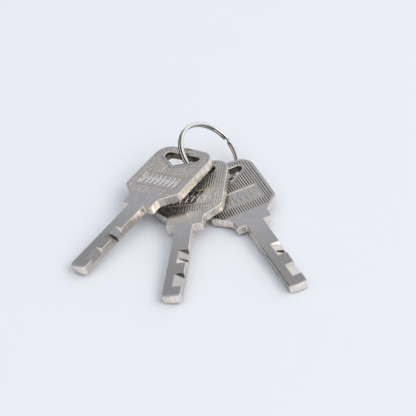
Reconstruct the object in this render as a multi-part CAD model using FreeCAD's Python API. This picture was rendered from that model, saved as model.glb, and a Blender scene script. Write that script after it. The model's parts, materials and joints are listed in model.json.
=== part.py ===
import FreeCAD
import Part
import math
import os
from FreeCAD import Matrix, Vector

# A set of three flat keys on a split ring, lying fanned out in a pile on the ground.
# Millimetres, +Z up. Seen from above, with the ring at the back, the blades point
# to the front (-Y) and the origin is the middle of the pile's footprint.

# One key, in its own frame: across X, from the tip (0) to the top of the bow along Y,
# thickness along Z.
key_length = 60.0
key_thickness = 3.0
edge_chamfer = 0.2

blade_width = 6.0
blade_length = 30.75
tip_rise = 0.3
tip_corner_radius = 0.8
tip_crown_radius = 9.0

neck_width = 12.0
neck_length = 3.65
step_radius = 0.35
flare_height = 4.5
flare_inner_radius = 2.2
flare_outer_radius = 1.8

bow_width = 22.6
bow_corner_radius = 4.8
bow_crown_rise = 0.8
bow_crown_radius = 40.0

# The key-ring slot: a wide, shallow triangle with rounded corners, point down.
slot_width = 14.2
slot_height = 6.1
slot_end_radius = 1.25
slot_point_radius = 0.8
slot_to_top = 3.2

# The pockets cut into one edge of the blade. A pocket's floor slopes down from a line past
# the blade's middle to its full depth at the edge. Its end wall leans back towards the bow.
# Start and end are counted from the tip.
cut_past_middle = 0.2
pockets = [
    {"start": 4.2, "end": 9.7, "depth": 1.4, "lean": 0.9},
    {"start": 14.2, "end": 19.8, "depth": 1.3, "lean": 0.9},
    {"start": 14.2, "end": 16.5, "depth": 1.95, "lean": 0.25},
]

# The ribbed face of the bow. A groove has steep walls under two gently sloping shoulders,
# so the ribs between the grooves look round.
groove_pitch = 0.833
groove_count = 25
groove_width = 0.42
groove_floor = 0.2
groove_depth = 0.3
shoulder_width = 0.15
shoulder_depth = 0.06
face_rim = 0.85
grooves_above_step = 5.9

# The smooth panel between the grooves, with a sunk field that holds a row of lozenge rings.
panel_width = 16.4
panel_height = 6.6
panel_above_step = 9.45
panel_border = 0.5
panel_depth = 0.2
lozenge_count = 8
lozenge_width = 1.5
lozenge_height = 4.2
lozenge_hole = 0.45
lozenge_slope = 0.15

# The split ring: one rounded wire wound twice, its two turns side by side.
ring_outer_diameter = 23.0
wire_thickness = 1.1
wire_width = 0.9
wire_corner_radius = 0.4
turn_gap = 0.1
jog_start = 80.0
jog_angle = 11.0
jog_sections = 7
end_gap_angle = 1.0

# How the pile lies. The ring leans to the right. Each key hangs on it at an angle round
# the ring, counted from the ring's lowest point, and its tip lies on the ground.
lean_direction = -23.2
pile_play = 0.25
hang_play = 1.3
keys = {
    "left_key": {"round": -112.5, "across": 2.3, "heading": 35.5, "roll": 16.8},
    "middle_key": {"round": -83.0, "across": 1.4, "heading": 7.1, "roll": 14.9},
    "right_key": {"round": -50.2, "across": -2.9, "heading": -24.8, "roll": 6.8},
}

# Worked out from the sizes above.
slot_top = key_length - slot_to_top
flare_start = blade_length + neck_length
flare_end = flare_start + flare_height
panel_bottom = blade_length + panel_above_step
ring_radius = (ring_outer_diameter - wire_thickness) / 2
ring_height = 2 * wire_width + turn_gap

# How far what is cut away stands out of the metal.
clear = 5.0


def rounded_outline(corners):
    """A closed wire through (x, y, radius) corners, each rounded by its own radius."""
    ends = []
    count = len(corners)
    for index, (x, y, radius) in enumerate(corners):
        corner = Vector(x, y, 0)
        before = Vector(*corners[index - 1][:2], 0)
        after = Vector(*corners[(index + 1) % count][:2], 0)
        back = (before - corner).normalize()
        forward = (after - corner).normalize()
        half = back.getAngle(forward) / 2
        reach = radius / math.tan(half)
        bisector = (back + forward).normalize()
        middle = corner + bisector * (radius / math.sin(half) - radius)
        ends.append((corner + back * reach, middle, corner + forward * reach))
    edges = []
    for index, (start, middle, end) in enumerate(ends):
        edges.append(Part.Arc(start, middle, end).toShape())
        following = ends[(index + 1) % count][0]
        edges.append(Part.LineSegment(end, following).toShape())
    return Part.Wire(edges)


def key_outline():
    """The outline of the key, seen from the face."""
    bow = bow_width / 2
    crown = math.atan2(bow_crown_rise, bow)
    crown_top = key_length + bow_crown_radius * (1 / math.cos(crown) - 1)
    half = [
        (blade_width / 2, tip_rise, tip_corner_radius),
        (blade_width / 2, blade_length, step_radius),
        (neck_width / 2, blade_length, step_radius),
        (neck_width / 2, flare_start, flare_inner_radius),
        (bow, flare_end, flare_outer_radius),
        (bow, crown_top - bow_crown_rise, bow_corner_radius),
    ]
    other_half = [(-x, y, radius) for x, y, radius in reversed(half)]
    return rounded_outline(
        [(0, 0, tip_crown_radius), *half, (0, crown_top, bow_crown_radius), *other_half]
    )


def mirrored(point):
    """The point on the other side of the key's middle line."""
    return Vector(-point.x, point.y, 0)


def slot_outline(grow=0.0):
    """The slot's outline, grown by a rim."""
    end_radius = slot_end_radius + grow
    point_radius = slot_point_radius + grow
    end = Vector(slot_width / 2 - slot_end_radius, slot_top - slot_end_radius, 0)
    point = Vector(0, slot_top - slot_height + slot_point_radius, 0)
    run = point - end
    normal = math.atan2(run.y, run.x) + math.acos((end_radius - point_radius) / run.Length)
    lower_end = end + end_radius * Vector(math.cos(normal), math.sin(normal), 0)
    lower_point = point + point_radius * Vector(math.cos(normal), math.sin(normal), 0)
    upper_end = end + Vector(0, end_radius, 0)
    outward = (normal + math.pi / 2) / 2
    outer_end = end + end_radius * Vector(math.cos(outward), math.sin(outward), 0)
    lowest = point - Vector(0, point_radius, 0)
    return Part.Wire(
        [
            Part.LineSegment(mirrored(upper_end), upper_end).toShape(),
            Part.Arc(upper_end, outer_end, lower_end).toShape(),
            Part.LineSegment(lower_end, lower_point).toShape(),
            Part.Arc(lower_point, lowest, mirrored(lower_point)).toShape(),
            Part.LineSegment(mirrored(lower_point), mirrored(lower_end)).toShape(),
            Part.Arc(mirrored(lower_end), mirrored(outer_end), mirrored(upper_end)).toShape(),
        ]
    )


def lifted(wire, height):
    """The wire, moved up."""
    wire.translate(Vector(0, 0, height))
    return wire


def slot_cutter():
    """What the slot takes out, flared to a chamfer at both faces."""
    upper = key_thickness - edge_chamfer
    lower_flare = Part.makeLoft(
        [slot_outline(edge_chamfer), lifted(slot_outline(), edge_chamfer)], True, True
    )
    upper_flare = Part.makeLoft(
        [lifted(slot_outline(), upper), lifted(slot_outline(edge_chamfer), key_thickness)], True, True
    )
    middle = Part.Face(lifted(slot_outline(), edge_chamfer))
    middle = middle.extrude(Vector(0, 0, key_thickness - 2 * edge_chamfer))
    return middle.fuse([lower_flare, upper_flare])


def blank():
    """The flat blank with its slot, chamfered along both faces."""
    solid = Part.Face(key_outline()).extrude(Vector(0, 0, key_thickness))
    rim = [edge for edge in solid.Edges if edge.Vertexes[0].Z == edge.Vertexes[-1].Z]
    return solid.makeChamfer(edge_chamfer, rim).cut(slot_cutter())


def prism(points, run):
    """A prism from a closed line of points, drawn along a run."""
    return Part.Face(Part.makePolygon([*points, points[0]])).extrude(run)


def pocket(start, end, depth, lean):
    """What the cutter takes from the upper face at the right edge."""
    inner = -cut_past_middle
    outer = blade_width / 2 + clear
    fall = depth / (blade_width / 2 - inner)
    above_floor = [
        Vector(inner, 0, key_thickness),
        Vector(outer, 0, key_thickness - fall * (outer - inner)),
        Vector(outer, 0, key_thickness + clear),
        Vector(inner, 0, key_thickness + clear),
    ]
    # The walls go down to twice the depth, so that they reach below the floor.
    low = key_thickness - 2 * depth
    rise = lean * clear / depth
    between_walls = [
        Vector(inner, start, low),
        Vector(inner, end - 2 * lean, low),
        Vector(inner, end + rise, key_thickness + clear),
        Vector(inner, start, key_thickness + clear),
    ]
    cut = prism(above_floor, Vector(0, key_length, 0))
    return cut.common(prism(between_walls, Vector(outer - inner, 0, 0)))


def grooves():
    """The grooves of the upper face, kept off the rims and the panel."""
    field = Part.Face(Part.Face(key_outline()).makeOffset2D(-face_rim).Wires[0])
    field = field.cut(Part.Face(slot_outline(face_rim)))
    field = field.extrude(Vector(0, 0, key_thickness + clear))
    first = blade_length + grooves_above_step
    window = Part.makeBox(bow_width, key_length - first, key_thickness + clear)
    window.translate(Vector(-bow_width / 2, first, 0))
    panel = Part.makeBox(panel_width, panel_height, key_thickness + clear)
    panel.translate(Vector(-panel_width / 2, panel_bottom, 0))
    low = key_thickness - groove_depth
    strips = []
    for index in range(groove_count):
        x = (index - (groove_count - 1) / 2) * groove_pitch
        section = [
            Vector(x - groove_floor / 2, 0, low),
            Vector(x + groove_floor / 2, 0, low),
            Vector(x + groove_width / 2, 0, key_thickness - shoulder_depth),
            Vector(x + groove_width / 2 + shoulder_width, 0, key_thickness),
            Vector(x - groove_width / 2 - shoulder_width, 0, key_thickness),
            Vector(x - groove_width / 2, 0, key_thickness - shoulder_depth),
        ]
        strips.append(prism(section, Vector(0, key_length + clear, 0)))
    return Part.makeCompound(strips).common(field).common(window).cut(panel)


def lozenge(x, share, level):
    """A lozenge of the panel's row at a level, as a share of its full size."""
    middle = panel_bottom + panel_height / 2
    half_width = share * lozenge_width / 2
    half_height = share * lozenge_height / 2
    corners = [
        Vector(x - half_width, middle, level),
        Vector(x, middle - half_height, level),
        Vector(x + half_width, middle, level),
        Vector(x, middle + half_height, level),
    ]
    return Part.makePolygon([*corners, corners[0]])


def lozenge_ring(x):
    """A raised lozenge ring of the panel. Its sides slope, inside and outside."""
    half_width, half_height = lozenge_width / 2, lozenge_height / 2
    slope = lozenge_slope * math.hypot(half_width, half_height) / (half_width * half_height)
    floor = key_thickness - panel_depth
    whole = Part.makeLoft([lozenge(x, 1 + slope, floor), lozenge(x, 1, key_thickness)], True, True)
    hole = [lozenge(x, lozenge_hole - slope, floor), lozenge(x, lozenge_hole, key_thickness)]
    return whole.cut(Part.makeLoft(hole, True, True))


def panel_field():
    """The sunk field of the panel, less the lozenge rings that stand in it."""
    width = panel_width - 2 * panel_border
    height = panel_height - 2 * panel_border
    field = Part.makeBox(width, height, panel_depth + clear)
    field.translate(Vector(-width / 2, panel_bottom + panel_border, key_thickness - panel_depth))
    step = width / lozenge_count
    raised = []
    for index in range(lozenge_count):
        raised.append(lozenge_ring((index - (lozenge_count - 1) / 2) * step))
    return field.cut(Part.makeCompound(raised))


def make_key():
    """A key that works either way up: what is cut in one face is cut in the other too."""
    upper = [*(pocket(**sizes) for sizes in pockets), grooves(), panel_field()]
    lower = []
    for cutter in upper:
        turned = cutter.copy()
        turned.rotate(Vector(0, 0, key_thickness / 2), Vector(0, 1, 0), 180)
        lower.append(turned)
    return blank().cut([*upper, *lower]).Solids[0]


def wire_section(angle, level):
    """The wire's rounded section at an angle round the ring, at a level along its axis."""
    across, up, radius = wire_thickness / 2, wire_width / 2, wire_corner_radius
    corners = [(across, up), (-across, up), (-across, -up), (across, -up)]
    section = rounded_outline([(x, y, radius) for x, y in corners])
    section.rotate(Vector(0, 0, 0), Vector(1, 0, 0), 90)
    section.translate(Vector(ring_radius, 0, level))
    section.rotate(Vector(0, 0, 0), Vector(0, 0, 1), angle)
    return section


def turn(start, end, level):
    """A plain turn of the wire between two angles."""
    face = Part.Face(wire_section(start, level))
    return face.revolve(Vector(0, 0, 0), Vector(0, 0, 1), end - start)


def jog_level(share):
    """The wire's level along the jog, level at both ends."""
    rise = wire_width + turn_gap
    return rise / 2 - rise * share * share * (3 - 2 * share)


def make_ring():
    """The split ring about +Z: the upper turn, the jog down and the lower turn."""
    upper = wire_width / 2 + turn_gap / 2
    sections = []
    for index in range(jog_sections):
        share = index / (jog_sections - 1)
        sections.append(wire_section(jog_start - jog_angle * share, jog_level(share)))
    jog = Part.makeLoft(sections, True, False)
    jog_end = jog_start - jog_angle
    upper_turn = turn(jog_start, jog_end + 360 - end_gap_angle, upper)
    lower_turn = turn(jog_end, jog_start - 360 + end_gap_angle, -upper)
    return upper_turn.fuse([jog, lower_turn]).Solids[0]


def ring_frame():
    """The ring's centre, its slope down, the way across the slope and its axis."""
    cosines = [math.cos(math.radians(keys[name]["round"])) for name in ("left_key", "middle_key")]
    rise = key_thickness + pile_play
    lean = math.asin(rise / (ring_radius * (cosines[1] - cosines[0])))
    heading = math.radians(lean_direction)
    level = Vector(math.cos(heading), math.sin(heading), 0)
    axis = level * math.sin(lean) + Vector(0, 0, math.cos(lean))
    slope = level * math.cos(lean) - Vector(0, 0, math.sin(lean))
    low = ring_outer_diameter / 2 * math.sin(lean) + ring_height / 2 * math.cos(lean)
    return Vector(0, 0, low), slope, axis.cross(slope), axis


def placement(x_axis, y_axis, z_axis, origin):
    """The placement that takes a shape from its own frame to the pile's."""
    return FreeCAD.Placement(
        Matrix(
            x_axis.x, y_axis.x, z_axis.x, origin.x,
            x_axis.y, y_axis.y, z_axis.y, origin.y,
            x_axis.z, y_axis.z, z_axis.z, origin.z,
            0, 0, 0, 1,
        )
    )


def key_placement(pose, ring, rest=0.0):
    """Where a key hangs on the wire, its tip's lower corner at the height of its rest."""
    centre, slope, across_slope, _ = ring
    angle = math.radians(pose["round"])
    hold = centre + ring_radius * (math.cos(angle) * slope + math.sin(angle) * across_slope)
    across = pose["across"]
    along = slot_top - ring_height / 2 - hang_play
    heading, roll = math.radians(pose["heading"]), math.radians(pose["roll"])
    drop = (blade_width / 2 + across) * math.sin(roll) + key_thickness / 2 * math.cos(roll)
    pitch = math.asin((hold.z - rest) / math.hypot(along, drop)) - math.atan2(drop, along)
    long_axis = Vector(
        math.sin(heading) * math.cos(pitch), math.cos(heading) * math.cos(pitch), math.sin(pitch)
    )
    flat = Vector(math.cos(heading), -math.sin(heading), 0)
    side = flat * math.cos(roll) + flat.cross(long_axis) * math.sin(roll)
    face = side.cross(long_axis)
    origin = hold - side * across - long_axis * along - face * (key_thickness / 2)
    return placement(side, long_axis, face, origin)


def lay_down(key, pose, ring):
    """Lay a key in the pile. Its tip's corners are rounded, so it sinks until it touches the ground."""
    key.Placement = key_placement(pose, ring)
    relief = key.optimalBoundingBox(False, False).ZMin
    key.Placement = key_placement(pose, ring, -relief)
    return key


def least_gap():
    """The least gap between the ring's turns, from points one degree apart on the wire."""
    first = jog_start - jog_angle + 360 - end_gap_angle
    last = jog_start - 360 + end_gap_angle
    levels = []
    for step in range(math.floor(first - last) + 1):
        share = (jog_start - (first - step)) / jog_angle
        levels.append(jog_level(min(max(share, 0), 1)))
    return min(upper - lower for upper, lower in zip(levels, levels[360:])) - wire_width


def main():
    """Build the pieces, set the origin under the middle of the pile and write the files."""
    ring = ring_frame()
    centre, slope, across_slope, axis = ring
    shapes = {}
    for name, pose in keys.items():
        shapes[name] = lay_down(make_key(), pose, ring)
    shapes["split_ring"] = make_ring()
    shapes["split_ring"].Placement = placement(slope, across_slope, axis, centre)
    box = Part.makeCompound(list(shapes.values())).optimalBoundingBox(False, False)
    shift = Vector(-box.Center.x, -box.Center.y, -box.ZMin)
    os.makedirs("parts", exist_ok=True)
    for name, shape in shapes.items():
        shape.translate(shift)
        shape.exportStep(f"parts/{name}.step")
        print(name, shape.ShapeType, shape.isValid(), round(shape.Volume, 2), "mm3")
    print("size", round(box.XLength, 2), round(box.YLength, 2), round(box.ZLength, 2))
    print("ring centre", [round(value, 4) for value in centre + shift])
    print("ring axis", [round(value, 6) for value in axis])
    print("least gap between the ring's turns", round(least_gap(), 3))


main()
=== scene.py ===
# %% [markdown]
# # Three flat keys on a split ring
#
# The keys of a pedal lock, thrown down on a pale table: three identical flat keys, fanned out, and the
# small split ring that holds them. Every shape was built at its real size in the CAD model. This lesson
# gives that model what the eye reads as metal: softened edges, plated and polished surfaces, and the
# light around them. Metal has hardly any colour of its own. It shows the room, so the room is built first.

# %% Load the frame
import json
import math

import bpy
from mathutils import Matrix, Vector


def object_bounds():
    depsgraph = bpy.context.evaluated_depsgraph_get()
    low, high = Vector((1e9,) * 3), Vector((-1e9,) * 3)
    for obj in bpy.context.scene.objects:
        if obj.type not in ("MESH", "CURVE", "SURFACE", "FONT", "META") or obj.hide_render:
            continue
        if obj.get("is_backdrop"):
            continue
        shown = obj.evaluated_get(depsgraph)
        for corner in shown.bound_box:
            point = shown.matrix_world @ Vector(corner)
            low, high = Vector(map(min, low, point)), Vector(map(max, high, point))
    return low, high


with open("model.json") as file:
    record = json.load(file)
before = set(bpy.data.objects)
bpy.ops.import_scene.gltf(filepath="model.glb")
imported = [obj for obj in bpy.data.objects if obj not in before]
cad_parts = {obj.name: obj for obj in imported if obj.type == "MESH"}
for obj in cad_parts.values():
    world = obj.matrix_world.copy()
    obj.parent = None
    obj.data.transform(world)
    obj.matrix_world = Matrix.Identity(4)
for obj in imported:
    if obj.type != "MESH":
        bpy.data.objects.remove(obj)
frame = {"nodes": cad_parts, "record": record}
cad_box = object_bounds()
bpy.ops.object.select_all(action="DESELECT")

MM = 0.001
KEYS = ["left_key", "middle_key", "right_key"]
RING = "split_ring"
mounts = {mount["name"]: mount for mount in frame["record"]["mounts"]}

print("nodes", sorted(frame["nodes"]))
print("size of the pile in mm", [round((high - low) / MM, 1) for low, high in zip(*cad_box)])

# %% [markdown]
# ## The camera
#
# The photograph was taken from the front, looking down at about 40 degrees through a long lens, so the
# keys hardly shrink with distance. The camera is aimed at a point of the table near the middle of the
# pile, and the lens is worked out from the size of the picture and how many pixels it gives a tangent.

# %% Place the camera
PHOTO_SIZE = 416
PIXELS_PER_TANGENT = 2000.0
SENSOR_WIDTH = 36.0
LOOK_DOWN = math.radians(39.93)
CAMERA_DISTANCE = 638.81 * MM
LOOK_AT = Vector((5.911, 8.152, 0.0)) * MM
NEAREST_SEEN = 10.0 * MM

camera_data = bpy.data.cameras.new("camera")
camera_data.sensor_width = SENSOR_WIDTH
camera_data.lens = SENSOR_WIDTH * PIXELS_PER_TANGENT / PHOTO_SIZE
camera_data.clip_start = NEAREST_SEEN
camera = bpy.data.objects.new("camera", camera_data)
bpy.context.scene.collection.objects.link(camera)
camera.rotation_euler = (math.pi / 2 - LOOK_DOWN, 0.0, 0.0)
way_back = Vector((0.0, -math.cos(LOOK_DOWN), math.sin(LOOK_DOWN)))
camera.location = LOOK_AT + way_back * CAMERA_DISTANCE
bpy.context.scene.camera = camera
bpy.context.scene.view_settings.view_transform = "Standard"
print("lens in mm", round(camera_data.lens, 2), "camera at", [round(v, 4) for v in camera.location])

# %% [markdown]
# ## Small helpers
#
# Colours are written as the hex values that a screen shows, and a shader wants linear light, so one
# function converts them. Another adds a node and plugs it in: a number or a colour is written to its
# socket, and another node is linked to it by the first output that is in use, or by one that is named.
# Math and Mix nodes have several sockets of one name, so these are given by number. In a Mix node 0 is
# the factor, 2 and 3 are the two numbers, and 6 and 7 the two colours.

# %% Colour and node helpers
def linear(hex_colour):
    """A hex colour as linear red, green, blue and full alpha, by the sRGB curve."""
    values = []
    for start in (0, 2, 4):
        value = int(hex_colour[start:start + 2], 16) / 255
        values.append(value / 12.92 if value <= 0.04045 else ((value + 0.055) / 1.055) ** 2.4)
    return (*values, 1.0)


def find_socket(sockets, name=None):
    """The socket with that number, the one in use with that name, or the first one in use."""
    if isinstance(name, int):
        return sockets[name]
    return next(socket for socket in sockets if socket.enabled and name in (None, socket.name))


def add_node(tree, kind, inputs=None, **settings):
    """Adds a node. An input takes a value, a node, or a node and the name of its output."""
    made = tree.nodes.new(kind)
    for name, value in settings.items():
        setattr(made, name, value)
    for name, value in (inputs or {}).items():
        socket = find_socket(made.inputs, name)
        if isinstance(value, bpy.types.Node):
            value = (value, None)
        if isinstance(value, tuple) and isinstance(value[0], bpy.types.Node):
            source, output = value
            tree.links.new(find_socket(source.outputs, output), socket)
        else:
            socket.default_value = value
    return made


def new_material(name):
    """A material with an empty node tree, and that tree."""
    material = bpy.data.materials.new(name)
    material.use_nodes = True
    material.node_tree.nodes.clear()
    return material, material.node_tree


# %% [markdown]
# ## The table
#
# The keys lie on smooth pale card. It is a matt surface of one colour, a very light blue grey, so the
# keys' soft shadows are all that marks it. It goes on far past the picture, so that a low view from any
# side still has it as its background.

# %% Make the table
TABLE_SIZE = 12.0
TABLE_DROP = 0.02 * MM
CARD_COLOUR = "EFF2F8"
CARD_ROUGHNESS = 0.9
CARD_SHINE = 0.1

bpy.ops.mesh.primitive_plane_add(size=TABLE_SIZE, location=(0.0, 0.0, -TABLE_DROP))
table = bpy.context.active_object
table.name = "table"
table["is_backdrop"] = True

card, tree = new_material("pale matt card")
surface = add_node(
    tree,
    "ShaderNodeBsdfPrincipled",
    {
        "Base Color": linear(CARD_COLOUR),
        "Roughness": CARD_ROUGHNESS,
        "Specular IOR Level": CARD_SHINE,
    },
)
add_node(tree, "ShaderNodeOutputMaterial", {"Surface": surface})
table.data.materials.append(card)
print("table", TABLE_SIZE, "m square")

# %% [markdown]
# ## The room and the lights
#
# A polished or satin metal is a picture of the room. In the photograph the tops of the keys show a cool
# grey wall behind them, the slopes that face right and forward catch a bright soft light, and those that
# face left and forward are nearly black. So there are two dark doorways on that side, with a pale low
# wall between them and a pale blind above the nearer one. The world is painted as such a room: one wall
# colour, and on it a few soft patches, each with a direction, a core and a soft edge. The small sunlit
# blind at the right is the brightest, and draws the light lines along the grooves of the left bow. A dark
# beam across the ceiling gives the shadowed side of those grooves.
#
# A large soft box at the right throws the soft shadows. Photographers keep such a box out of the metal
# with a flag, because its mirror image burns out every slope that finds it. Here its glossy visibility is
# turned off for the same reason. A smaller window at the front right is left in the metal, and gives the
# glints on the pockets.

# %% Paint the room
WALL_COLOUR = "B3B6C0"
ROOM_PATCHES = [
    # what it is, azimuth, elevation, core and outer edge in degrees, colour, brightness
    ("pale wall at the right", 46.0, 32.0, 14.0, 44.0, "FFFFFF", 1.0),
    ("sunlit blind at the right", 109.0, 48.0, 9.0, 18.0, "FFFCF8", 3.0),
    ("pale ceiling", -105.0, 74.0, 14.0, 42.0, "F4F5F8", 1.0),
    ("dark ceiling beam", 17.0, 67.0, 4.0, 16.0, "4A4743", 1.0),
    ("pale low wall at the left", -100.0, 4.0, 12.0, 30.0, "FBF4EA", 1.05),
    ("dark doorway at the back left", -70.0, 14.0, 10.0, 28.0, "0E0C0A", 1.0),
    ("dark doorway at the front left", -151.0, 12.0, 13.0, 23.0, "1A0D04", 1.0),
    ("pale blind at the front left", -136.0, 41.0, 7.0, 16.0, "FFFFFF", 1.4),
]


def direction(azimuth, elevation):
    """A direction in the room. Azimuth 0 is straight behind the pile, 90 is to its right."""
    turn, lift = math.radians(azimuth), math.radians(elevation)
    return Vector((math.sin(turn) * math.cos(lift), math.cos(turn) * math.cos(lift), math.sin(lift)))


world = bpy.data.worlds.new("studio")
world.use_nodes = True
tree = world.node_tree
tree.nodes.clear()
view = add_node(tree, "ShaderNodeTexCoord")
room = linear(WALL_COLOUR)
for label, azimuth, elevation, core, edge, colour, brightness in ROOM_PATCHES:
    towards = add_node(
        tree,
        "ShaderNodeVectorMath",
        {0: (view, "Generated"), 1: direction(azimuth, elevation)},
        operation="DOT_PRODUCT",
    )
    inside = add_node(
        tree,
        "ShaderNodeMapRange",
        {
            "Value": (towards, "Value"),
            "From Min": math.cos(math.radians(edge)),
            "From Max": math.cos(math.radians(core)),
        },
        interpolation_type="SMOOTHSTEP",
    )
    painted = [value * brightness for value in linear(colour)]
    room = add_node(tree, "ShaderNodeMix", {0: inside, 6: room, 7: painted}, data_type="RGBA")
    room.label = label
light = add_node(tree, "ShaderNodeBackground", {"Color": room, "Strength": 1.0})
add_node(tree, "ShaderNodeOutputWorld", {"Surface": light})
bpy.context.scene.world = world
print("world", world.name, "with", len(ROOM_PATCHES), "patches")

# %% Place the soft box and the window
LIGHT_DISTANCE = 2.0


def round_light(name, azimuth, elevation, size, power, colour, mirrored=True):
    """A round area light that looks at the pile."""
    away = direction(azimuth, elevation)
    data = bpy.data.lights.new(name, "AREA")
    data.shape = "DISK"
    data.size = size
    data.energy = power
    data.color = linear(colour)[:3]
    lamp = bpy.data.objects.new(name, data)
    bpy.context.scene.collection.objects.link(lamp)
    lamp.location = away * LIGHT_DISTANCE
    lamp.rotation_euler = away.to_track_quat("Z", "Y").to_euler()
    lamp.visible_glossy = mirrored
    print(name, "at", [round(v, 2) for v in lamp.location], "power in watts", power)


round_light("soft box at the right", 101.0, 55.0, size=2.6, power=12.0, colour="FFFCF8", mirrored=False)
round_light("window at the front right", 143.0, 30.0, size=0.8, power=3.2, colour="FFFAF2")

# %% [markdown]
# ## Softened edges
#
# Nothing stamped or milled has a perfectly sharp edge: plating and use round it off by a few hundredths
# of a millimetre, and that narrow band catches the light. The CAD model's keys have sharp edges, so each
# key gets live modifiers that leave its mesh as it is. Weld joins its loose triangles, a planar
# decimate turns them back into whole faces, and a bevel rounds the edges. Its hardened normals keep the
# faces flat to the eye. The corners of the ring's wire are already round in the CAD model.

# %% Soften the keys' edges
WELD_REACH = 0.001 * MM
FLAT_WITHIN = math.radians(0.5)
KEY_EDGE = 0.05 * MM
EDGE_STEPS = 2
SHARPER_THAN = math.radians(20.0)

for key in KEYS:
    piece = frame["nodes"][key]
    weld = piece.modifiers.new("weld the triangles", "WELD")
    weld.merge_threshold = WELD_REACH
    planar = piece.modifiers.new("join flat faces", "DECIMATE")
    planar.decimate_type = "DISSOLVE"
    planar.angle_limit = FLAT_WITHIN
    bevel = piece.modifiers.new("round the edges", "BEVEL")
    bevel.width = KEY_EDGE
    bevel.segments = EDGE_STEPS
    bevel.limit_method = "ANGLE"
    bevel.angle_limit = SHARPER_THAN
    bevel.harden_normals = True
    print(key, "edges rounded by", KEY_EDGE / MM, "mm")

# %% [markdown]
# ## Where a key lies
#
# A brushed pattern has to follow the key and not the room, and the three keys lie three ways. Each key
# has a mount at its tip, which gives the tip's place and the way the blade points. The broadest
# face of its mesh gives the way the key faces. Those two directions make the key's own axes: across it,
# along it from the tip, and through its thickness.

# %% Read the keys' own axes
def own_axes(key):
    """The place of a key's tip, and the turn from the key's own axes to the frame's."""
    mount = mounts[key.replace("key", "blade")]
    along = -Vector(mount["axis"]).normalized()
    broadest = max(frame["nodes"][key].data.polygons, key=lambda face: face.area)
    facing = broadest.normal * (1.0 if broadest.normal.z > 0.0 else -1.0)
    across = along.cross(facing).normalized()
    facing = across.cross(along)
    turn = Matrix((across, along, facing)).transposed()
    return Vector(mount["pos_m"]), turn


for key in KEYS:
    tip, turn = own_axes(key)
    print(key, "tip in mm", [round(v / MM, 2) for v in tip], "faces", [round(v, 3) for v in turn.col[2]])

# %% [markdown]
# ## The keys' metal, laid along each key
#
# The keys are struck from steel strip and plated with satin nickel: a slightly warm grey, less blue than
# chrome, with a soft sheen. The finish differs from place to place, and each difference is a mask. A mask
# is easiest in the key's own millimetres, so a Mapping node turns the Object coordinates into them: across
# the key, along it from the tip, and through its thickness. The way that the surface faces then parts the
# broad faces from the sides. All lengths in the cells on the keys' metal are these millimetres, except the
# depth of the relief.

# %% Read a key's own millimetres
KEY_THICKNESS = 3.0
SIDE_BELOW, FACE_ABOVE = 0.15, 0.35
SUNK_FROM, SUNK_TO = 0.06, 0.12


def lay_on_key(tree, key):
    """The nodes that give the place on a key, and whether it is on a face, or sunk below one."""
    tip, turn = own_axes(key)
    coordinates = add_node(tree, "ShaderNodeTexCoord")
    own = add_node(
        tree,
        "ShaderNodeMapping",
        {
            "Vector": (coordinates, "Object"),
            "Location": tip,
            "Rotation": turn.to_euler(),
            "Scale": (MM, MM, MM),
        },
        vector_type="TEXTURE",
    )
    place = add_node(tree, "ShaderNodeSeparateXYZ", {"Vector": own})
    level = add_node(tree, "ShaderNodeMath", {0: (place, "Z")}, operation="ABSOLUTE")
    depth = add_node(tree, "ShaderNodeMath", {0: KEY_THICKNESS / 2, 1: level}, operation="SUBTRACT")
    across = add_node(tree, "ShaderNodeMath", {0: (place, "X")}, operation="ABSOLUTE")
    facing = add_node(
        tree, "ShaderNodeVectorMath", {0: (coordinates, "Normal"), 1: turn.col[2]}, operation="DOT_PRODUCT"
    )
    facing = add_node(tree, "ShaderNodeMath", {0: (facing, "Value")}, operation="ABSOLUTE")
    on_face = add_node(
        tree, "ShaderNodeMapRange", {"Value": facing, "From Min": SIDE_BELOW, "From Max": FACE_ABOVE}
    )
    sunk = add_node(
        tree, "ShaderNodeMapRange", {"Value": depth, "From Min": SUNK_FROM, "From Max": SUNK_TO}
    )
    return {
        "own": own,
        "along": (place, "Y"),
        "across": across,
        "depth": depth,
        "on_face": on_face,
        "sunk": sunk,
    }


# %% [markdown]
# ## Plate, a darker blade and sheared sides
#
# The plate clouds a little from place to place. The blade is coloured darker towards the tip, but not at
# its blunt end or on the floors of the milled pockets. The punch dragged the metal as it sheared the sides,
# so they are a warmer, streaked metal. The streaks run through the thickness: their noise is stretched by
# making its coordinates hardly change that way. Real streaks are about a tenth of a millimetre wide, too
# fine to show, so they are drawn coarser.

# %% Draw out the streaks
STREAK_WIDTH = 0.7
STREAK_LENGTH = 12.0


def streak_noise(tree, on_key):
    """Noise drawn out through the thickness of the key."""
    stretched = add_node(
        tree,
        "ShaderNodeVectorMath",
        {0: on_key["own"], 1: (1 / STREAK_WIDTH, 1 / STREAK_WIDTH, 1 / STREAK_LENGTH)},
        operation="MULTIPLY",
    )
    return add_node(tree, "ShaderNodeTexNoise", {"Vector": stretched, "Scale": 1.0, "Detail": 2.0})


# %% Colour the metal
NICKEL = "E9E6E1"
DULL_NICKEL = "D4D0CA"
DARKER_NICKEL = "B9B4AD"
SHEARED_LIGHT = "FBF4EA"
SHEARED_DARK = "D8CDC0"
CLOUD_SIZE = 2.0
STREAK_FROM, STREAK_TO = 0.35, 0.75
DARKER_FROM, DARKER_TO, MOST_DARKENED = 31.0, 12.0, 0.8
TIP_FROM, TIP_TO = 1.2, 0.4


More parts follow.
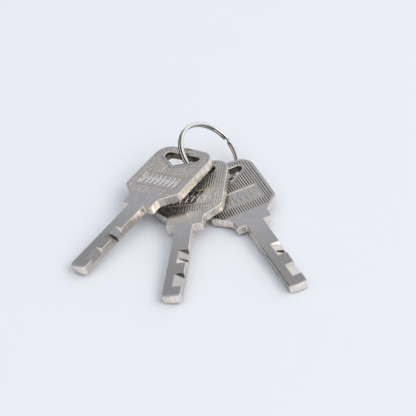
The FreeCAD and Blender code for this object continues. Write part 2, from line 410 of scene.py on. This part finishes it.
def metal_colour(tree, on_key, streaks):
    """Clouded plate on the faces and streaked metal on the sides, both darker towards the tip."""
    clouds = add_node(
        tree, "ShaderNodeTexNoise", {"Vector": on_key["own"], "Scale": 1 / CLOUD_SIZE, "Detail": 3.0}
    )
    plate = add_node(
        tree,
        "ShaderNodeMix",
        {0: (clouds, "Fac"), 6: linear(NICKEL), 7: linear(DULL_NICKEL)},
        data_type="RGBA",
    )
    streaked = add_node(
        tree,
        "ShaderNodeMapRange",
        {"Value": (streaks, "Fac"), "From Min": STREAK_FROM, "From Max": STREAK_TO},
    )
    sheared = add_node(
        tree,
        "ShaderNodeMix",
        {0: streaked, 6: linear(SHEARED_LIGHT), 7: linear(SHEARED_DARK)},
        data_type="RGBA",
    )
    metal = add_node(tree, "ShaderNodeMix", {0: on_key["on_face"], 6: sheared, 7: plate}, data_type="RGBA")
    # Darker towards the tip, except at the blunt end and on the floors of the pockets.
    darkened = add_node(
        tree,
        "ShaderNodeMapRange",
        {"Value": on_key["along"], "From Min": DARKER_FROM, "From Max": DARKER_TO, "To Max": MOST_DARKENED},
    )
    tip = add_node(
        tree, "ShaderNodeMapRange", {"Value": on_key["along"], "From Min": TIP_FROM, "From Max": TIP_TO}
    )
    darkened = add_node(tree, "ShaderNodeMath", {0: darkened, 1: tip}, operation="SUBTRACT", use_clamp=True)
    floor = add_node(tree, "ShaderNodeMath", {0: on_key["sunk"], 1: on_key["on_face"]}, operation="MULTIPLY")
    darkened = add_node(tree, "ShaderNodeMath", {0: darkened, 1: floor}, operation="SUBTRACT", use_clamp=True)
    return add_node(tree, "ShaderNodeMix", {0: darkened, 6: metal, 7: linear(DARKER_NICKEL)}, data_type="RGBA")


# %% [markdown]
# ## Painted shade in the grooves, the slot and the notch
#
# A brown colour is painted in the grooves of the bow, inside the slot and in the deep notch of the blade,
# as painted shade where little light gets in. A groove is told by its depth below the face. The sunk panel
# is deep enough to count as one, so a box round the panel is taken out. The slot is the only side near the
# key's middle line at that height, and the notch is a narrow box across the blade. The strength of this
# painted shade differs by key: almost none on the left bow and the most on the right one, while the left
# notch has the most.

# %% Mask a box on a key
def box_mask(tree, on_key, middle, half_height, half_width):
    """One inside a box that is centred across the key, and nothing outside it."""
    in_height = add_node(
        tree, "ShaderNodeMath", {0: on_key["along"], 1: middle, 2: half_height}, operation="COMPARE"
    )
    in_width = add_node(tree, "ShaderNodeMath", {0: on_key["across"], 1: half_width}, operation="LESS_THAN")
    return add_node(tree, "ShaderNodeMath", {0: in_height, 1: in_width}, operation="MULTIPLY")


# %% Add the painted shade
# The brown below is painted shade, laid in the grooves of the bow, in the slot and in the blade's deep notch.
PAINTED_SHADE = "523F2E"
PAINTED_SHADE_FROM, PAINTED_SHADE_TO = 0.08, 0.2
BLADE_LENGTH = 30.75
PANEL_MIDDLE, PANEL_HALF_HEIGHT, PANEL_HALF_WIDTH = 43.5, 3.4, 8.3
SLOT_MIDDLE, SLOT_HALF_HEIGHT, SLOT_HALF_WIDTH = 53.7, 3.9, 8.0
NOTCH_MIDDLE, NOTCH_HALF_HEIGHT, NOTCH_HALF_WIDTH = 16.2, 0.4, 3.5
NOTCH_FROM, NOTCH_TO = 0.2, 0.5
# How strong the painted shade is in the slot, in the notch and in the grooves of each key.
PAINTED_SHADE_IN_SLOT = 0.75
PAINTED_SHADE_IN_NOTCH = {"left_key": 0.8, "middle_key": 0.35, "right_key": 0.7}
PAINTED_SHADE_IN_GROOVES = {"left_key": 0.05, "middle_key": 0.15, "right_key": 0.75}


def add_painted_shade(tree, on_key, colour, key):
    """Painted shade over a colour, in the grooves of the bow, in the slot and in the blade's deep notch."""
    on_bow = add_node(tree, "ShaderNodeMath", {0: on_key["along"], 1: BLADE_LENGTH}, operation="GREATER_THAN")
    panel = box_mask(tree, on_key, PANEL_MIDDLE, PANEL_HALF_HEIGHT, PANEL_HALF_WIDTH)
    ribbed = add_node(tree, "ShaderNodeMath", {0: on_bow, 1: panel}, operation="SUBTRACT")
    deep = add_node(
        tree,
        "ShaderNodeMapRange",
        {
            "Value": on_key["depth"],
            "From Min": PAINTED_SHADE_FROM,
            "From Max": PAINTED_SHADE_TO,
            "To Max": PAINTED_SHADE_IN_GROOVES[key],
        },
    )
    # Painted shade in the grooves of the bow, little on the left key and the most on the right.
    groove = add_node(tree, "ShaderNodeMath", {0: ribbed, 1: deep}, operation="MULTIPLY")
    groove = add_node(tree, "ShaderNodeMath", {0: groove, 1: on_key["on_face"]}, operation="MULTIPLY")
    # Painted shade on the slot's walls: the sides inside the slot box.
    slot = box_mask(tree, on_key, SLOT_MIDDLE, SLOT_HALF_HEIGHT, SLOT_HALF_WIDTH)
    slot = add_node(
        tree, "ShaderNodeMath", {0: slot, 1: on_key["on_face"]}, operation="SUBTRACT", use_clamp=True
    )
    slot = add_node(tree, "ShaderNodeMath", {0: slot, 1: PAINTED_SHADE_IN_SLOT}, operation="MULTIPLY")
    # Painted shade in the blade's deep notch.
    notch = box_mask(tree, on_key, NOTCH_MIDDLE, NOTCH_HALF_HEIGHT, NOTCH_HALF_WIDTH)
    sunk = add_node(
        tree,
        "ShaderNodeMapRange",
        {
            "Value": on_key["depth"],
            "From Min": NOTCH_FROM,
            "From Max": NOTCH_TO,
            "To Max": PAINTED_SHADE_IN_NOTCH[key],
        },
    )
    notch = add_node(tree, "ShaderNodeMath", {0: notch, 1: sunk}, operation="MULTIPLY")
    painted_shade_mask = add_node(tree, "ShaderNodeMath", {0: groove, 1: slot}, operation="MAXIMUM")
    painted_shade_mask = add_node(tree, "ShaderNodeMath", {0: painted_shade_mask, 1: notch}, operation="MAXIMUM")
    # The brown is mixed over the metal's colour as painted shade.
    return add_node(tree, "ShaderNodeMix", {0: painted_shade_mask, 6: colour, 7: linear(PAINTED_SHADE)}, data_type="RGBA")


# %% [markdown]
# ## Grain, cutter marks and sheen
#
# A satin face has a fine even grain, which also varies its sheen. The pockets keep the marks of the cutter
# that milled them, across the blade, and the sides keep their streaks. The three heights share one bump,
# three thousandths of a millimetre deep. The real grain is far finer than a pixel of the render, so it is
# drawn about a third of a millimetre wide.

# %% Put the grain, the marks and the streaks together
MILL_MARK_WIDTH = 0.7
MILL_MARK_LENGTH = 10.0


def key_relief(tree, on_key, grain, streaks):
    """Grain on the faces, cutter marks in the pockets and streaks on the sides."""
    stretched = add_node(
        tree,
        "ShaderNodeVectorMath",
        {0: on_key["own"], 1: (1 / MILL_MARK_LENGTH, 1 / MILL_MARK_WIDTH, 1 / MILL_MARK_LENGTH)},
        operation="MULTIPLY",
    )
    marks = add_node(tree, "ShaderNodeTexNoise", {"Vector": stretched, "Scale": 1.0, "Detail": 2.0})
    on_blade = add_node(tree, "ShaderNodeMath", {0: on_key["along"], 1: BLADE_LENGTH}, operation="LESS_THAN")
    milled = add_node(tree, "ShaderNodeMath", {0: on_key["sunk"], 1: on_blade}, operation="MULTIPLY")
    face = add_node(tree, "ShaderNodeMix", {0: milled, 2: (grain, "Fac"), 3: (marks, "Fac")})
    return add_node(tree, "ShaderNodeMix", {0: on_key["on_face"], 2: (streaks, "Fac"), 3: face})


# %% Make the keys' metal
GRAIN_SIZE = 0.35
GRAIN_LOW, GRAIN_HIGH = 0.3, 0.7
SMOOTHEST, ROUGHEST = 0.22, 0.3
RELIEF_DEPTH = 0.003 * MM


def key_metal(key):
    """Satin nickel plate, with its patterns laid along one key."""
    material, tree = new_material("satin nickel plate, " + key.replace("_", " "))
    on_key = lay_on_key(tree, key)
    streaks = streak_noise(tree, on_key)
    # The metal's colour gets painted shade in its grooves, its slot and its notch.
    colour = add_painted_shade(tree, on_key, metal_colour(tree, on_key, streaks), key)
    grain = add_node(
        tree, "ShaderNodeTexNoise", {"Vector": on_key["own"], "Scale": 1 / GRAIN_SIZE, "Detail": 3.0}
    )
    relief = key_relief(tree, on_key, grain, streaks)
    bump = add_node(tree, "ShaderNodeBump", {"Height": relief, "Strength": 1.0, "Distance": RELIEF_DEPTH})
    roughness = add_node(
        tree,
        "ShaderNodeMapRange",
        {
            "Value": (grain, "Fac"),
            "From Min": GRAIN_LOW,
            "From Max": GRAIN_HIGH,
            "To Min": SMOOTHEST,
            "To Max": ROUGHEST,
        },
    )
    surface = add_node(
        tree,
        "ShaderNodeBsdfPrincipled",
        {"Base Color": colour, "Metallic": 1.0, "Roughness": roughness, "Normal": bump},
    )
    add_node(tree, "ShaderNodeOutputMaterial", {"Surface": surface})
    return material


for key in KEYS:
    frame["nodes"][key].material_slots[0].material = key_metal(key)
    print(key, "painted shade in its grooves", PAINTED_SHADE_IN_GROOVES[key])

# %% [markdown]
# ## The ring's metal
#
# The ring is spring steel wire, rolled and plated bright. Its flats keep the plate's bright colour. The sides
# of its turns are painted darker as painted shade, greyer on the inside and dark on the outside, so each of
# the two turns is drawn as one light and one dark line. Any metal mirrors more at flat angles, and the
# shader's edge tint keeps that painted dark side dark there too. Between the turns hardly any light gets in,
# and there the ring is painted nearly black, as painted shade. These colours are laid by masks: one on the
# way that the surface faces along the ring's axis, one on the way that it faces out from the axis, and one on
# the distance from the plane between the turns.

# %% Read the ring's own directions
def lay_on_ring(tree):
    """The nodes that give the way a place of the ring faces, and its distance from the middle plane."""
    mount = mounts["ring_eye"]
    centre = Vector(mount["pos_m"])
    axis = Vector(mount["axis"]).normalized()
    coordinates = add_node(tree, "ShaderNodeTexCoord")
    normal = (coordinates, "Normal")
    flat = add_node(tree, "ShaderNodeVectorMath", {0: normal, 1: axis}, operation="DOT_PRODUCT")
    flat = add_node(tree, "ShaderNodeMath", {0: (flat, "Value")}, operation="ABSOLUTE")
    arm = add_node(
        tree, "ShaderNodeVectorMath", {0: (coordinates, "Object"), 1: centre}, operation="SUBTRACT"
    )
    rise = add_node(tree, "ShaderNodeVectorMath", {0: arm, 1: axis}, operation="DOT_PRODUCT")
    rise = add_node(tree, "ShaderNodeMath", {0: (rise, "Value")}, operation="ABSOLUTE")
    up_axis = add_node(tree, "ShaderNodeVectorMath", {0: arm, 1: axis}, operation="PROJECT")
    outwards = add_node(tree, "ShaderNodeVectorMath", {0: arm, 1: up_axis}, operation="SUBTRACT")
    outwards = add_node(tree, "ShaderNodeVectorMath", {0: outwards}, operation="NORMALIZE")
    out = add_node(tree, "ShaderNodeVectorMath", {0: normal, 1: outwards}, operation="DOT_PRODUCT")
    return {"flat": flat, "out": (out, "Value"), "rise": rise}


# %% Make the ring's metal
# The flats keep the plate's colour; the inside, outside and gap colours are painted shade on the sides of the
# turns and between them.
RING_PLATE_ON_FLATS = "F0EDE8"
RING_INSIDE_SHADE = "847D75"
RING_OUTSIDE_SHADE = "4A453F"
RING_GAP_SHADE = "14110E"
RING_EDGE_TINT = "A09B95"
RING_ROUGHNESS = 0.1
OUTSIDE_FROM, OUTSIDE_TO = 0.1, 0.5
FLATS_FROM, FLATS_TO = 0.5, 0.62
GAP_FROM, GAP_TO = 0.14 * MM, 0.07 * MM


def ring_metal():
    """Bright nickel plate on spring steel, with painted shade: darker sides, darkest outside, black between
    the turns.
    """
    material, tree = new_material("bright nickel plate on spring steel")
    on_ring = lay_on_ring(tree)
    outside = add_node(
        tree,
        "ShaderNodeMapRange",
        {"Value": on_ring["out"], "From Min": OUTSIDE_FROM, "From Max": OUTSIDE_TO},
    )
    # The sides of the turns are painted darker, greyer inside and dark outside: painted shade.
    side = add_node(
        tree, "ShaderNodeMix", {0: outside, 6: linear(RING_INSIDE_SHADE), 7: linear(RING_OUTSIDE_SHADE)}, data_type="RGBA"
    )
    on_flats = add_node(
        tree,
        "ShaderNodeMapRange",
        {"Value": on_ring["flat"], "From Min": FLATS_FROM, "From Max": FLATS_TO},
    )
    plate = add_node(tree, "ShaderNodeMix", {0: on_flats, 6: side, 7: linear(RING_PLATE_ON_FLATS)}, data_type="RGBA")
    # The gap between the turns is painted nearly black: painted shade.
    in_gap = add_node(
        tree, "ShaderNodeMapRange", {"Value": on_ring["rise"], "From Min": GAP_FROM, "From Max": GAP_TO}
    )
    colour = add_node(tree, "ShaderNodeMix", {0: in_gap, 6: plate, 7: linear(RING_GAP_SHADE)}, data_type="RGBA")
    surface = add_node(
        tree,
        "ShaderNodeBsdfPrincipled",
        {
            "Base Color": colour,
            "Metallic": 1.0,
            "Roughness": RING_ROUGHNESS,
            "Specular Tint": linear(RING_EDGE_TINT),
        },
    )
    add_node(tree, "ShaderNodeOutputMaterial", {"Surface": surface})
    return material


frame["nodes"][RING].material_slots[0].material = ring_metal()
print(RING, "is", frame["nodes"][RING].material_slots[0].material.name)

# %% Finish
visual_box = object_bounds()
grown = (visual_box[1] - visual_box[0]) - (cad_box[1] - cad_box[0])
print("grown in mm", [round(value / MM, 3) for value in grown])
